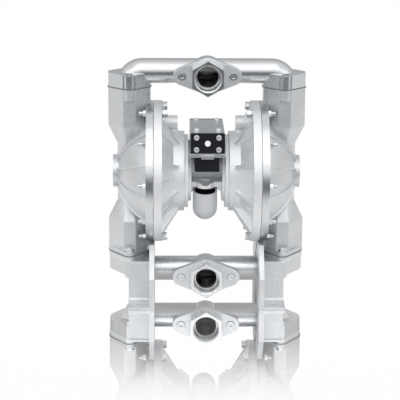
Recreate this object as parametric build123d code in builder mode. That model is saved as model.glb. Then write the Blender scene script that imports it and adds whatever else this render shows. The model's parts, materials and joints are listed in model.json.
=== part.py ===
# An air operated double diaphragm pump of cast stainless steel, 2 inch ports.
# Millimetres. X to the right, Y away from the viewer, Z up.
# The origin is on the floor, in the middle of the four foot holes.
# Heights inside the pump are measured from the main shaft's axis.
from build123d import *
from math import acos, asin, cos, degrees, radians, sin, sqrt
import os

os.makedirs("parts", exist_ok=True)

# Main places
shaft_height = 298.0        # shaft axis above the floor
parting_offset = 124.0      # middle of each diaphragm's rim, from the middle plane
neck_offset = 180.0         # axis of the valve necks, from the middle plane
manifold_offset = 239.0     # manifold pipe axis, above and below the shaft
upper_joint = 202.5         # top end of the upper necks
lower_joint = 189.3         # bottom end of the lower necks

# Fits
slide_gap = 0.05            # round a part that slides
seat_gap = 0.2              # round a part that is located
thread_gap = 0.1            # round a thread, drawn plain
hole_gap = 0.6              # round a bolt in a plain hole

# Chamber castings
flange_radius = 166.0
bolt_edge = 11.5            # from the chamber bolts to the flanges' rims
bolt_seal = 11.5            # from the chamber bolts in to the diaphragm's rim
outer_flange_thickness = 16.0
inner_flange_thickness = 18.0
dome_radius = 148.0
dome_wall = 8.0
dome_apex = 211.0           # from the middle plane
pad_radius = 38.0
pad_height = 8.0
rib_count = 10
dome_rib_width = 5.0
dome_rib_height = 4.0
cone_rib_width = 8.0
cone_rib_reach = 8.0        # from the rib's foot in to the flange's edge
low_rib_width = 4.5         # low ribs in line with the bolts
low_rib_length = 17.0
low_rib_height = 6.5
stud_band = 100.0           # bolts nearer the shaft's height than this are studs
hub_radius = 94.0
hub_end = 52.0              # hub face, from the middle plane
hub_step = 78.0             # where the cone leaves the hub
cone_radius = 126.0         # where the cone meets the flange
air_floor = 88.0            # air chamber floor, from the middle plane
air_floor_radius = 78.0
floor_thickness = 10.0
pocket_inner_radius = 40.0
pocket_outer_radius = 70.0
boss_radius = 16.0          # air boss on the inner chamber
boss_height = flange_radius - 49
boss_end = 68.0
plug_radius = 8.0
plug_length = 12.0
plug_socket = 6.0

# Valve necks
neck_half_width = 49.3
neck_flat = 14.0            # half the width of each cut corner
neck_corner = 5.0
neck_shoulder = 113.0       # where the neck starts to narrow
neck_bore = 38.0
duct_radius = 31.0
duct_bore = 23.0
duct_offset = 177.5
duct_top = 68.0
duct_bottom = 20.0
seat_ledge = 118.0          # what the upper seat and the lower cage rest on
ear_radius = 13.0
ear_reach = 64.0            # lower joint's bolts, in front of and behind the neck axis
ear_thickness = 10.0
screw_reach = 45.0          # upper joint's screws
screw_boss_radius = 12.5
screw_boss_depth = 26.0

# Diaphragms and main shaft
lip_clearance = 1.5         # between the rim and the flanges' lips outside it
lip_gap = 1.0               # left between the two lips
rim_thickness = 3.0
clamp_radius = 57.0         # under the plates
diaphragm_thickness = 4.0
convolution = 9.0
inner_plate_thickness = 12.0
outer_plate_thickness = 14.0
plate_edge = 4.0
shaft_radius = 15.0
stud_radius = 8.0
shaft_nut_width = 24.0
shaft_nut_height = 10.0
stud_end = 2.0
stroke = 12.0               # each way from the middle

# Centre body
tube_radius = 20.0
sleeve_radius = 33.0
bush_radius = 20.0
bush_length = 22.0
disc_radius = 86.0
disc_thickness = 9.0
step_radius = 71.0
step_thickness = 7.0
column_front = 22.0
column_back = 38.0
web_half_depth = 14.0
web_drop = 40.0
ledge_top = 15.0            # exhaust ledge, below the shaft
ledge_bottom = 27.5
ledge_front = 50.0
exhaust_side = -3.5         # the exhaust stands a little to the left
exhaust_radius = 20.0
exhaust_bore = 14.0
exhaust_forward = 50.0
scoop_radius = 16.0         # round hollow in the ledge, above the exhaust
scoop_depth = 6.0
exhaust_depth = 4.0
pilot_radius = 3.0
pilot_height = 26.0
pilot_travel = 4.0
pilot_gap = 0.3             # left between plate and rod at the end of the stroke

# Air valve
base_bottom = 59.4
base_thickness = 8.4
base_half_width = 42.0
tab_half_width = 14.5       # tab in the middle of the base's front edge
tab_drop = 4.0
tab_reach = 3.0
valve_half_width = 39.3
valve_top = 115.5
valve_front = 121.0
valve_back = 48.0
front_cap = 6.0
rear_cap = 9.0
valve_corner = 3.0
gasket_thickness = 1.0
spool_radius = 14.0
spool_waist = 9.0
spool_land = 14.0
spool_lands = 5
spool_travel = 20.0
spool_end_gap = 2.0
air_inlet_radius = 5.5
plug_rim = 1.2              # the plug's head over the air inlet
plug_head = 3.0
pilot_block_half_width = 28.5
pilot_block_front = 95.0
pilot_block_bottom = 19.5

# Exhaust cup
cup_radius = 28.5
cup_wall = 4.5
cup_rim = 37.0              # below the shaft
cup_depth = 68.5
cup_tilt = 8.0
cup_forward = 45.0
collar_front = 44.0         # casting that holds the cup's back half
collar_drop = 35.0          # below the shaft, beside the cup
collar_corner = 6.0         # the collar is this much deeper at the discs
collar_flat = 25.0

# Manifolds and ports
pipe_radius = 29.0
pipe_bore = 24.5
bend_spare = 1.25           # bend radius over the pipe's radius
bend_lead = 6.0             # straight length before each bend, cut back to the joint
upper_block_height = 32.5
lower_block_height = 30.4
lower_block_inset = 0.8      # the saddle stands out over the block
joint_gasket = 1.5
gasket_lip = 1.6
saddle_thickness = 13.8
saddle_bore = 26.0
flange_half_width = 78.5
flange_end_radius = 20.0
flange_half_height = 42.0
flange_crown_radius = 28.0
port_flange_back = 69.0     # rhombic flange's back face, in front of the pipe axis
port_flange_front = 79.0
manifold_flange_thickness = 9.0
boss_outer_radius = 36.0
hex_width = 72.0            # across flats
hex_front = 112.5
thread_radius = 29.8        # outer radius of the 2 inch pipe thread
thread_depth = 26.0
port_chamfer = 1.6
port_bolt_offset = 58.75
port_screw_seat = 4.0
port_screw_head = 6.0
port_screw_socket = 8.0

# Ball valves
ball_radius = 27.0
ball_lift = 14.0
ball_gap = 0.05
seat_bore = 22.0
seat_thickness = 12.0
cage_gap = 1.0              # round the ball, and over it at the top of its lift
cage_window_depth = 36.0
cage_window_width = 38.0
cage_bar = 8.0              # height of the cross bar
cage_fin = 5.0
cage_fins = 4

# Legs
leg_inner = 121.5           # side plate's inner face, from the middle plane
plate_thickness = 12.0
neck_notch = 26.0           # half width of the notch behind the neck
foot_outer = 182.0
foot_half_depth = 150.0
foot_thickness = 6.5
web_front = 83.0            # webs' outer faces, in front of and behind the middle
web_thickness = 6.5
shelf_lip = 2.5             # the shelf stands out over the webs
shelf_thickness = 5.5      # the saddle's thinner part, from the plate to the webs
arch_half_width = 56.0
plate_top = 157.0           # below the shaft
plate_shoulder = 90.0       # half depth of the side plate's top edge
plate_slope_start = 75.0    # above the floor, where the plate starts to narrow
cradle_gap = 2.0            # between the side plate and the chamber flange
foot_hole_radius = 7.0
foot_hole_x = 156.0
foot_hole_y = 124.0

# Fasteners
chamber_bolts = 10
chamber_bolt_radius = 5.0
chamber_bolt_end = 10.0
m10_head_width = 17.0
m10_head_height = 10.0
m10_washer_radius = 10.5
m10_washer_thickness = 2.5
chamber_nut_width = 14.0
chamber_nut_height = 7.0
joint_bolt_radius = 6.0
m12_head_width = 19.0
m12_head_height = 8.0
m12_nut_height = 6.5
joint_bolt_end = 2.0
m12_cap_radius = 9.0
m12_cap_height = 12.0
m12_socket = 5.0
upper_screw_seat = 10.0      # depth of the spot face in the upper block
upper_screw_thread = 20.0
centre_bolt_radius = 4.0
centre_bolt_circle = 79.5
centre_bolts = 3            # behind the shaft, a quarter turn from first to last
centre_bolt_depth = 16.0
m8_head_radius = 6.5
m8_head_height = 6.0
valve_screw_radius = 3.0
valve_screw_head = 6.2
valve_screw_head_height = 6.0
valve_screw_depth = 14.0
cap_screw_x = 25.5
cap_screw_z = 14.0
top_screw_x = 25.0
top_screw_front = 95.0
top_screw_back = 20.0

# Faces worked out from the sizes above
rim_outer = parting_offset + rim_thickness / 2
rim_inner = parting_offset - rim_thickness / 2
lip_outer = parting_offset + lip_gap / 2
lip_inner = parting_offset - lip_gap / 2
bolt_circle = flange_radius - bolt_edge
rim_radius = bolt_circle - bolt_seal
lip_radius = rim_radius + lip_clearance
outer_face = rim_outer + outer_flange_thickness
inner_face = rim_inner - inner_flange_thickness
dome_centre = dome_apex - dome_radius
free_radius = sqrt((dome_radius - dome_wall)**2 - (rim_outer - dome_centre)**2)
plate_inner_face = parting_offset - diaphragm_thickness / 2
plate_outer_face = parting_offset + diaphragm_thickness / 2
shaft_end = plate_inner_face - inner_plate_thickness
disc_face = hub_end - disc_thickness
step_face = disc_face - step_thickness
bend_radius = pipe_radius + bend_spare
neck_top_ledge = seat_ledge + seat_thickness
saddle_top = lower_joint + joint_gasket
saddle_bottom = saddle_top + saddle_thickness
lower_block_top = saddle_bottom
lower_block_bottom = lower_block_top + lower_block_height
upper_block_bottom = upper_joint + joint_gasket
upper_block_top = upper_block_bottom + upper_block_height
valve_bottom = base_bottom + base_thickness + gasket_thickness
valve_middle = (valve_bottom + valve_top) / 2
ball_over_seat = sqrt(ball_radius**2 - seat_bore**2) + ball_gap
rib_pitch = 360.0 / rib_count

shaft_axis = Axis((0, 0, shaft_height), (1, 0, 0))


def across(x):
    """A plane square to the shaft: local x is Y, local y is height over the shaft."""
    return Plane(origin=(x, 0, shaft_height), x_dir=(0, 1, 0), z_dir=(1, 0, 0))


def level(height, x=0.0, y=0.0):
    """A level plane, at a height over the shaft."""
    return Plane(origin=(x, y, shaft_height + height))


def facing(forward, x=0.0, height=0.0):
    """An upright plane that faces the viewer: local x is X, local y is up."""
    return Plane(origin=(x, -forward, shaft_height + height), x_dir=(1, 0, 0), z_dir=(0, -1, 0))


def meridian(angle):
    """A plane through the shaft's axis: local x is X, local y points out at the angle."""
    turn = radians(angle)
    return Plane(origin=(0, 0, shaft_height), x_dir=(1, 0, 0), z_dir=(0, -sin(turn), -cos(turn)))


section = meridian(90)


def turned(points, mode=Mode.ADD):
    """A profile of (X, radius) points, turned round the shaft's axis."""
    with BuildSketch(section) as profile:
        with BuildLine():
            Polyline(*points, close=True)
        make_face()
    revolve(profile.sketch, axis=shaft_axis, mode=mode)


def disc(x, radius, length, mode=Mode.ADD):
    """A round disc on the shaft's axis, from x on."""
    with BuildSketch(across(x)) as outline:
        Circle(radius)
    extrude(outline.sketch, amount=length, mode=mode)


def neck_outline(spare=0.0):
    """A square stood on its corner, with the corners cut and rounded."""
    wide = neck_half_width + spare
    flat = neck_flat + spare * 0.4
    corners = [(wide, flat), (flat, wide), (-flat, wide), (-wide, flat)]
    corners += [(-x, -y) for x, y in corners]
    with BuildSketch(Plane.XY) as outline:
        Polygon(*corners, align=None)
        fillet(outline.vertices(), neck_corner)
    return outline.sketch


def eared_outline(spare=0.0):
    """The lower joint's outline: round the neck, with an ear in front and behind."""
    Circle(neck_half_width + spare)
    with Locations((0, ear_reach), (0, -ear_reach)):
        Circle(ear_radius + spare)
    make_hull()


def rhombic_outline(spare=0.0):
    """The port flange's outline: two round ends and a round crown above and below."""
    with Locations((port_bolt_offset, 0), (-port_bolt_offset, 0)):
        Circle(flange_end_radius + spare)
    crown = flange_half_height - flange_crown_radius
    with Locations((0, crown), (0, -crown)):
        Circle(flange_crown_radius + spare)
    make_hull()


def keep(piece, label):
    """Names a finished piece and writes it."""
    piece.label = label
    export_step(piece, f"parts/{label}.step")


def keep_both(piece, label):
    """Writes a piece made on the right side, and its mirror image on the left."""
    keep(piece, f"{label}_right")
    keep(mirror(piece, about=Plane.YZ), f"{label}_left")


# Outer chamber: flange, ribbed dome, and a valve neck above and below
def outer_chamber():
    shell_radius = dome_radius - dome_wall
    pad_angle = degrees(asin(pad_radius / dome_radius))
    flange_angle = degrees(acos((outer_face - dome_centre) / dome_radius))
    rim_angle = degrees(acos((rim_outer - dome_centre) / shell_radius))
    pad_face = dome_apex + pad_height
    with BuildPart() as chamber:
        with BuildSketch(section):
            with BuildLine():
                dome = CenterArc((dome_centre, 0), dome_radius, pad_angle, flange_angle - pad_angle)
                Polyline(
                    dome @ 0, (pad_face, pad_radius), (pad_face, 0), (rim_outer, 0), (rim_outer, lip_radius),
                    (lip_outer, lip_radius), (lip_outer, flange_radius), (outer_face, flange_radius), dome @ 1,
                )
            make_face()
        revolve(axis=shaft_axis)
        for number in range(rib_count):
            with BuildSketch(meridian((number + 0.5) * rib_pitch)):
                with Locations((dome_centre, 0)):
                    Circle(dome_radius + dome_rib_height)
                    Circle(dome_radius - dome_wall / 2, mode=Mode.SUBTRACT)
                with Locations((outer_face - dome_rib_height, 0)):
                    Rectangle(2 * dome_radius, 2 * dome_radius, align=(Align.MIN, Align.MIN), mode=Mode.INTERSECT)
            extrude(amount=dome_rib_width / 2, both=True)
        for side, joint in ((1, upper_joint), (-1, lower_joint)):
            with BuildSketch(level(side * neck_shoulder, neck_offset)):
                add(neck_outline())
            extrude(amount=side * (joint - neck_shoulder))
            with BuildSketch(level(side * neck_shoulder, neck_offset)):
                add(neck_outline())
            with BuildSketch(level(side * duct_top, duct_offset)):
                Circle(duct_radius)
            loft()
            with BuildSketch(level(side * duct_top, duct_offset)):
                Circle(duct_radius)
            extrude(amount=side * (duct_bottom - duct_top))
        with BuildSketch(level(upper_joint, neck_offset)):
            with Locations((0, screw_reach), (0, -screw_reach)):
                Circle(screw_boss_radius)
        extrude(amount=-screw_boss_depth)
        with BuildSketch(level(-lower_joint, neck_offset)):
            eared_outline()
        extrude(amount=ear_thickness)
        with BuildSketch(section):
            with BuildLine():
                cavity = CenterArc((dome_centre, 0), shell_radius, 0, rim_angle)
                Polyline(cavity @ 1, (rim_outer, 0), cavity @ 0)
            make_face()
        revolve(axis=shaft_axis, mode=Mode.SUBTRACT)
        for side, joint in ((1, upper_joint), (-1, lower_joint)):
            with BuildSketch(level(side * joint, neck_offset)):
                Circle(neck_bore)
            extrude(amount=side * (seat_ledge - joint), mode=Mode.SUBTRACT)
            with BuildSketch(level(side * seat_ledge, duct_offset)):
                Circle(duct_bore)
            extrude(amount=side * (2 * duct_bottom - seat_ledge), mode=Mode.SUBTRACT)
        with BuildSketch(level(upper_joint, neck_offset)):
            with Locations((0, screw_reach), (0, -screw_reach)):
                Circle(joint_bolt_radius + thread_gap)
        extrude(amount=-upper_screw_thread - thread_gap, mode=Mode.SUBTRACT)
        with BuildSketch(level(-lower_joint, neck_offset)):
            with Locations((0, ear_reach), (0, -ear_reach)):
                Circle(joint_bolt_radius + hole_gap)
        extrude(amount=ear_thickness, mode=Mode.SUBTRACT)
        with BuildSketch(across(outer_face)):
            with PolarLocations(bolt_circle, chamber_bolts):
                Circle(chamber_bolt_radius + hole_gap)
        extrude(amount=lip_outer - outer_face, mode=Mode.SUBTRACT)
    return chamber.part


# Inner chamber: flange, ribbed cone, hub and air boss
def inner_chamber():
    with BuildPart() as chamber:
        turned([
            (rim_inner, 0), (rim_inner, lip_radius), (lip_inner, lip_radius), (lip_inner, flange_radius),
            (inner_face, flange_radius), (inner_face, cone_radius),
            (hub_step, hub_radius), (hub_end, hub_radius), (hub_end, 0),
        ])
        for number in range(rib_count):
            with BuildSketch(meridian((number + 0.5) * rib_pitch)):
                with BuildLine():
                    Polyline(
                        (inner_face, flange_radius - cone_rib_reach), (hub_end + disc_thickness + 3, hub_radius),
                        (hub_end + disc_thickness + 3, hub_radius - floor_thickness / 2),
                        (inner_face, hub_radius - floor_thickness / 2), close=True,
                    )
                make_face()
            extrude(amount=cone_rib_width / 2, both=True)
        low_end = inner_face - low_rib_length
        low_radius = cone_radius - low_rib_length * (cone_radius - hub_radius) / (inner_face - hub_step)
        for number in range(rib_count):
            with BuildSketch(meridian(number * rib_pitch)):
                with BuildLine():
                    Polyline(
                        (inner_face, cone_radius + low_rib_height), (low_end, low_radius + low_rib_height / 3),
                        (low_end, low_radius - low_rib_height), (inner_face, cone_radius - low_rib_height),
                        close=True,
                    )
                make_face()
            extrude(amount=low_rib_width / 2, both=True)
        with BuildSketch(across(boss_end)):
            with Locations((0, boss_height)):
                Circle(boss_radius)
        extrude(amount=inner_face - boss_end)
        turned([
            (rim_inner, 0), (rim_inner, free_radius), (rim_inner - 7, free_radius - 5), (air_floor + 4, air_floor_radius + 6),
            (air_floor, air_floor_radius), (air_floor, 0),
        ], mode=Mode.SUBTRACT)
        turned([
            (hub_end, pocket_inner_radius), (hub_end, pocket_outer_radius),
            (air_floor - floor_thickness, pocket_outer_radius), (air_floor - floor_thickness, pocket_inner_radius),
        ], mode=Mode.SUBTRACT)
        disc(hub_end, sleeve_radius + seat_gap, air_floor - hub_end, mode=Mode.SUBTRACT)
        with BuildSketch(across(inner_face)):
            with PolarLocations(bolt_circle, chamber_bolts):
                Circle(chamber_bolt_radius + hole_gap)
        extrude(amount=lip_inner - inner_face, mode=Mode.SUBTRACT)
        with BuildSketch(across(hub_end)):
            with PolarLocations(centre_bolt_circle, centre_bolts, -45, 90, endpoint=True):
                Circle(centre_bolt_radius + thread_gap)
        extrude(amount=centre_bolt_depth, mode=Mode.SUBTRACT)
        with BuildSketch(across(boss_end)):
            with Locations((0, boss_height)):
                Circle(plug_radius + thread_gap)
        extrude(amount=plug_length + thread_gap, mode=Mode.SUBTRACT)
    return chamber.part


def air_plug():
    with BuildPart() as plug:
        with BuildSketch(across(boss_end)):
            with Locations((0, boss_height)):
                Circle(plug_radius)
        extrude(amount=plug_length)
        with BuildSketch(across(boss_end)):
            with Locations((0, boss_height)):
                RegularPolygon(plug_socket / 2, 6, major_radius=False)
        extrude(amount=plug_length / 2, mode=Mode.SUBTRACT)
    return plug.part


# Diaphragm: a flat rim, one convolution and a flat middle
def diaphragm():
    crest = (clamp_radius + free_radius) / 2
    with BuildPart() as sheet:
        with BuildSketch(section):
            with BuildLine():
                Polyline(
                    (rim_outer, free_radius), (rim_outer, rim_radius), (rim_inner, rim_radius), (rim_inner, free_radius)
                )
                ThreePointArc(
                    (rim_inner, free_radius),
                    (plate_inner_face + convolution, crest), (plate_inner_face, clamp_radius),
                )
                Polyline(
                    (plate_inner_face, clamp_radius), (plate_inner_face, stud_radius + seat_gap),
                    (plate_outer_face, stud_radius + seat_gap), (plate_outer_face, clamp_radius),
                )
                ThreePointArc(
                    (plate_outer_face, clamp_radius),
                    (plate_outer_face + convolution, crest), (rim_outer, free_radius),
                )
            make_face()
        revolve(axis=shaft_axis)
    return sheet.part


def diaphragm_plate(face, thickness):
    """A plate that clamps the diaphragm, from its flat face on; its far edge is rounded."""
    with BuildPart() as plate:
        disc(face, clamp_radius, thickness)
        fillet(plate.faces().sort_by(Axis.X)[-1 if thickness > 0 else 0].edges(), plate_edge)
        disc(face, stud_radius + seat_gap, thickness, mode=Mode.SUBTRACT)
    return plate.part


def main_shaft():
    nut_face = plate_outer_face + outer_plate_thickness
    with BuildPart() as shaft:
        disc(-shaft_end, shaft_radius, 2 * shaft_end)
        length = nut_face + shaft_nut_height + stud_end
        disc(-length, stud_radius, 2 * length)
    return shaft.part


def shaft_nut():
    with BuildPart() as nut:
        with BuildSketch(across(plate_outer_face + outer_plate_thickness)):
            RegularPolygon(shaft_nut_width / 2, 6, major_radius=False)
            Circle(stud_radius + thread_gap, mode=Mode.SUBTRACT)
        extrude(amount=shaft_nut_height)
    return nut.part


# Centre body: shaft tube between two stepped discs, column, lower web and exhaust ledge
def centre_body():
    with BuildPart() as body:
        disc(-hub_end, tube_radius, 2 * hub_end)
        for side in (1, -1):
            disc(side * step_face, step_radius, side * step_thickness)
            disc(side * disc_face, disc_radius, side * disc_thickness)
            disc(side * step_face, sleeve_radius, side * (air_floor - step_face))
        with BuildSketch(level(0)):
            with Locations((0, (column_back - column_front) / 2)):
                Rectangle(2 * step_face, column_front + column_back)
        extrude(amount=base_bottom)
        with BuildSketch(level(-web_drop)):
            Rectangle(2 * step_face, 2 * web_half_depth)
        extrude(amount=web_drop)
        with BuildSketch(facing(0)):
            with BuildLine():
                Polyline(
                    (-step_face, -ledge_top), (-step_face, -collar_drop - collar_corner),
                    (-collar_flat, -collar_drop), (collar_flat, -collar_drop),
                    (step_face, -collar_drop - collar_corner), (step_face, -ledge_top), close=True,
                )
            make_face()
        extrude(amount=collar_front)
        with BuildSketch(level(-ledge_bottom, exhaust_side, -cup_forward)):
            Circle(cup_radius)
        extrude(amount=-cup_depth, mode=Mode.SUBTRACT)
        with BuildSketch(level(-ledge_bottom)):
            with Locations((exhaust_side, -exhaust_forward)):
                Circle(exhaust_radius)
            with Locations((0, -ledge_front / 2)):
                Rectangle(2 * step_face, ledge_front)
        extrude(amount=ledge_bottom - ledge_top)
        with BuildSketch(facing(exhaust_forward + exhaust_radius, exhaust_side, scoop_radius - ledge_top - scoop_depth)):
            Circle(scoop_radius)
        extrude(amount=tube_radius - exhaust_forward - exhaust_radius, mode=Mode.SUBTRACT)
        with BuildSketch(level(base_bottom)):
            Rectangle(2 * (valve_half_width + seat_gap), 2 * disc_radius)
        extrude(amount=disc_radius, mode=Mode.SUBTRACT)
        disc(-air_floor, shaft_radius + slide_gap, 2 * air_floor, mode=Mode.SUBTRACT)
        for side in (1, -1):
            disc(side * air_floor, bush_radius, -side * bush_length, mode=Mode.SUBTRACT)
        with BuildSketch(across(-air_floor)):
            with Locations((0, pilot_height)):
                Circle(pilot_radius + slide_gap)
        extrude(amount=2 * air_floor, mode=Mode.SUBTRACT)
        with BuildSketch(level(-ledge_bottom)):
            with Locations((exhaust_side, -exhaust_forward)):
                Circle(exhaust_bore)
        extrude(amount=exhaust_depth, mode=Mode.SUBTRACT)
        for side in (1, -1):
            with BuildSketch(across(side * disc_face)):
                with PolarLocations(centre_bolt_circle, centre_bolts, -45, 90, endpoint=True):
                    Circle(centre_bolt_radius + hole_gap)
            extrude(amount=side * disc_thickness, mode=Mode.SUBTRACT)
    return body.part


def shaft_bush():
    with BuildPart() as bush:
        disc(air_floor - bush_length, bush_radius, bush_length)
        disc(air_floor - bush_length, shaft_radius + slide_gap, bush_length, mode=Mode.SUBTRACT)
    return bush.part


def pilot_rod():
    touch = shaft_end - stroke + pilot_travel - pilot_gap
    with BuildPart() as rod:
        with BuildSketch(across(-touch)):
            with Locations((0, pilot_height)):
                Circle(pilot_radius)
        extrude(amount=2 * touch)
    return rod.part


# Air valve: base plate, gasket, body with its bore, two caps and a spool
def valve_plan(spare):
    """The valve base's plan: wide in front, narrow between the centre body's steps."""
    with Locations((0, -(valve_front + step_radius + spare) / 2)):
        Rectangle(2 * base_half_width, valve_front - step_radius - spare)
    with Locations((0, (valve_back - valve_front) / 2)):
        Rectangle(2 * valve_half_width, valve_front + valve_back)


def valve_base():
    with BuildPart() as base:
        with BuildSketch(level(base_bottom)):
            valve_plan(3)
        extrude(amount=base_thickness)
        with BuildSketch(level(base_bottom - tab_drop)):
            with Locations((0, -valve_front)):
                Rectangle(2 * tab_half_width, tab_reach)
        extrude(amount=base_thickness)
    return base.part


def valve_gasket():
    with BuildPart() as gasket:
        with BuildSketch(level(base_bottom + base_thickness)):
            with Locations((0, (valve_back - valve_front) / 2)):
                Rectangle(2 * valve_half_width, valve_front + valve_back)
        extrude(amount=gasket_thickness)
    return gasket.part


def valve_body():
    length = valve_front - front_cap + valve_back - rear_cap
    middle = (valve_back - rear_cap - valve_front + front_cap) / 2
    with BuildPart() as body:
        with BuildSketch(level(valve_bottom)):
            with Locations((0, middle)):
                Rectangle(2 * valve_half_width, length)
        extrude(amount=valve_top - valve_bottom)
        fillet(body.edges().filter_by(Axis.Y).group_by(Axis.Z)[-1], valve_corner)
        with BuildSketch(facing(valve_front - front_cap, 0, valve_middle)):
            Circle(spool_radius + slide_gap)
        extrude(amount=-length, mode=Mode.SUBTRACT)
        with BuildSketch(facing(valve_front - front_cap, 0, valve_middle)):
            with GridLocations(2 * cap_screw_x, 2 * cap_screw_z, 2, 2):
                Circle(valve_screw_radius + thread_gap)
        extrude(amount=-valve_screw_depth - thread_gap, mode=Mode.SUBTRACT)
        with BuildSketch(level(valve_top, 0, (top_screw_back - top_screw_front) / 2)):
            with GridLocations(2 * top_screw_x, top_screw_front + top_screw_back, 2, 2):
                Circle(valve_screw_radius + thread_gap)
        extrude(amount=-valve_screw_depth - thread_gap, mode=Mode.SUBTRACT)
    return body.part


def valve_cap(forward, thickness, opening):
    """An end cap of the valve, from its front face back; the front one takes the air inlet."""
    with BuildPart() as cap:
        with BuildSketch(facing(forward, 0, valve_middle)):
            RectangleRounded(2 * valve_half_width, valve_top - valve_bottom, valve_corner)
            if opening:
                Circle(opening, mode=Mode.SUBTRACT)
                with GridLocations(2 * cap_screw_x, 2 * cap_screw_z, 2, 2):
                    Circle(valve_screw_radius + hole_gap, mode=Mode.SUBTRACT)
        extrude(amount=-thickness)
    return cap.part


def inlet_plug():
    """The shipping plug in the air inlet: a round head and a shank."""
    with BuildPart() as plug:
        with BuildSketch(facing(valve_front, 0, valve_middle)):
            Circle(air_inlet_radius + plug_rim)
        extrude(amount=plug_head)
        with BuildSketch(facing(valve_front, 0, valve_middle)):
            Circle(air_inlet_radius - thread_gap)
        extrude(amount=-front_cap)
        fillet(plug.faces().sort_by(Axis.Y)[0].edges(), plug_head / 3)
    return plug.part


def valve_spool():
    length = valve_front - front_cap + valve_back - rear_cap - spool_travel - 2 * spool_end_gap
    spacing = (length - spool_land) / (spool_lands - 1)
    front = valve_front - front_cap - spool_end_gap
    with BuildPart() as spool:
        with BuildSketch(facing(front, 0, valve_middle)):
            Circle(spool_waist)
        extrude(amount=-length)
        for number in range(spool_lands):
            with BuildSketch(facing(front - number * spacing, 0, valve_middle)):
                Circle(spool_radius)
            extrude(amount=-spool_land)
    return spool.part


def pilot_block():
    with BuildPart() as block:
        with BuildSketch(level(pilot_block_bottom)):
            with Locations((0, -(pilot_block_front + column_front) / 2)):
                Rectangle(2 * pilot_block_half_width, pilot_block_front - column_front)
        extrude(amount=base_bottom - pilot_block_bottom)
        fillet(block.edges().filter_by(Axis.Z), valve_corner)
    return block.part


# Exhaust cup: a round-bottomed cup under the exhaust, held in the centre body's collar
def exhaust_cup():
    depth = cup_depth - cup_radius
    rim = Plane(origin=(exhaust_side, -cup_forward, shaft_height - cup_rim))
    middle = Plane(origin=(exhaust_side, -cup_forward, shaft_height - cup_rim - depth))
    with BuildPart() as cup:
        with Locations(middle):
            Sphere(cup_radius)
        with BuildSketch(middle):
            Circle(cup_radius)
        extrude(amount=depth + 2 * cup_wall)
        split(bisect_by=rim.rotated((cup_tilt, 0, 0)), keep=Keep.BOTTOM)
        with Locations(middle):
            Sphere(cup_radius - cup_wall, mode=Mode.SUBTRACT)
        with BuildSketch(middle):
            Circle(cup_radius - cup_wall)
        extrude(amount=depth + 2 * cup_wall, mode=Mode.SUBTRACT)
    return cup.part


# Manifold: one pipe with an elbow into a joint block at each end and a flanged boss in the middle
def pipe_run(side, radius, mode=Mode.ADD):
    """A straight pipe with a quarter bend towards the necks at each end."""
    bend_start = manifold_offset - bend_radius
    straight = neck_offset - bend_radius
    with BuildSketch(across(-straight)) as middle:
        with Locations((0, side * manifold_offset)):
            Circle(radius)
    extrude(middle.sketch, amount=2 * straight, mode=mode)
    for end in (-1, 1):
        with BuildSketch(level(side * bend_start, end * neck_offset)) as mouth:
            Circle(radius)
        hinge = Axis((end * straight, 0, shaft_height + side * bend_start), (0, -end * side, 0))
        revolve(mouth.sketch, axis=hinge, revolution_arc=90, mode=mode)
        extrude(mouth.sketch, amount=-side * bend_lead, mode=mode)


def manifold(side):
    """side is 1 for the discharge manifold above, -1 for the inlet manifold below."""
    joint = upper_block_bottom if side > 0 else lower_block_top
    block = upper_block_height if side > 0 else lower_block_height
    height = side * manifold_offset
    reach = screw_reach if side > 0 else ear_reach
    flange_back = port_flange_back - manifold_flange_thickness
    with BuildPart() as pipe:
        pipe_run(side, pipe_radius)
        split(bisect_by=level(side * joint), keep=Keep.TOP if side > 0 else Keep.BOTTOM)
        for end in (-1, 1):
            with BuildSketch(level(side * joint, end * neck_offset)):
                if side > 0:
                    add(neck_outline())
                    with Locations((0, screw_reach), (0, -screw_reach)):
                        Circle(screw_boss_radius)
                else:
                    eared_outline(-lower_block_inset)
            extrude(amount=side * block)
        with BuildSketch(facing(0, 0, height)):
            Circle(boss_outer_radius)
        extrude(amount=flange_back)
        with BuildSketch(facing(flange_back, 0, height)):
            rhombic_outline()
        extrude(amount=manifold_flange_thickness)
        pipe_run(side, pipe_bore, mode=Mode.SUBTRACT)
        with BuildSketch(facing(0, 0, height)):
            Circle(pipe_bore)
        extrude(amount=port_flange_back, mode=Mode.SUBTRACT)
        for end in (-1, 1):
            with BuildSketch(level(side * joint, end * neck_offset)):
                with Locations((0, reach), (0, -reach)):
                    Circle(joint_bolt_radius + hole_gap)
            extrude(amount=side * block, mode=Mode.SUBTRACT)
            if side > 0:
                with BuildSketch(level(upper_block_top - upper_screw_seat, end * neck_offset)):
                    with Locations((0, reach), (0, -reach)):
                        Circle(m12_cap_radius + hole_gap)
                extrude(amount=upper_screw_seat, mode=Mode.SUBTRACT)
        with BuildSketch(facing(port_flange_back, 0, height)):
            with Locations((port_bolt_offset, 0), (-port_bolt_offset, 0)):
                Circle(chamber_bolt_radius + thread_gap)
        extrude(amount=-manifold_flange_thickness, mode=Mode.SUBTRACT)
    return pipe.part


def joint_gaskets(side):
    """The pair of gaskets at one manifold, with a lip that stands out of the joint."""
    face = upper_joint if side > 0 else lower_joint
    reach = screw_reach if side > 0 else ear_reach
    with BuildPart() as gaskets:
        for end in (-1, 1):
            with BuildSketch(level(side * face, end * neck_offset)):
                if side > 0:
                    add(neck_outline(gasket_lip))
                    with Locations((0, reach), (0, -reach)):
                        Circle(screw_boss_radius + gasket_lip)
                else:
                    eared_outline(gasket_lip)
                Circle(pipe_bore, mode=Mode.SUBTRACT)
                with Locations((0, reach), (0, -reach)):
                    Circle(joint_bolt_radius + hole_gap, mode=Mode.SUBTRACT)
            extrude(amount=side * joint_gasket)
    return gaskets.part


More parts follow.
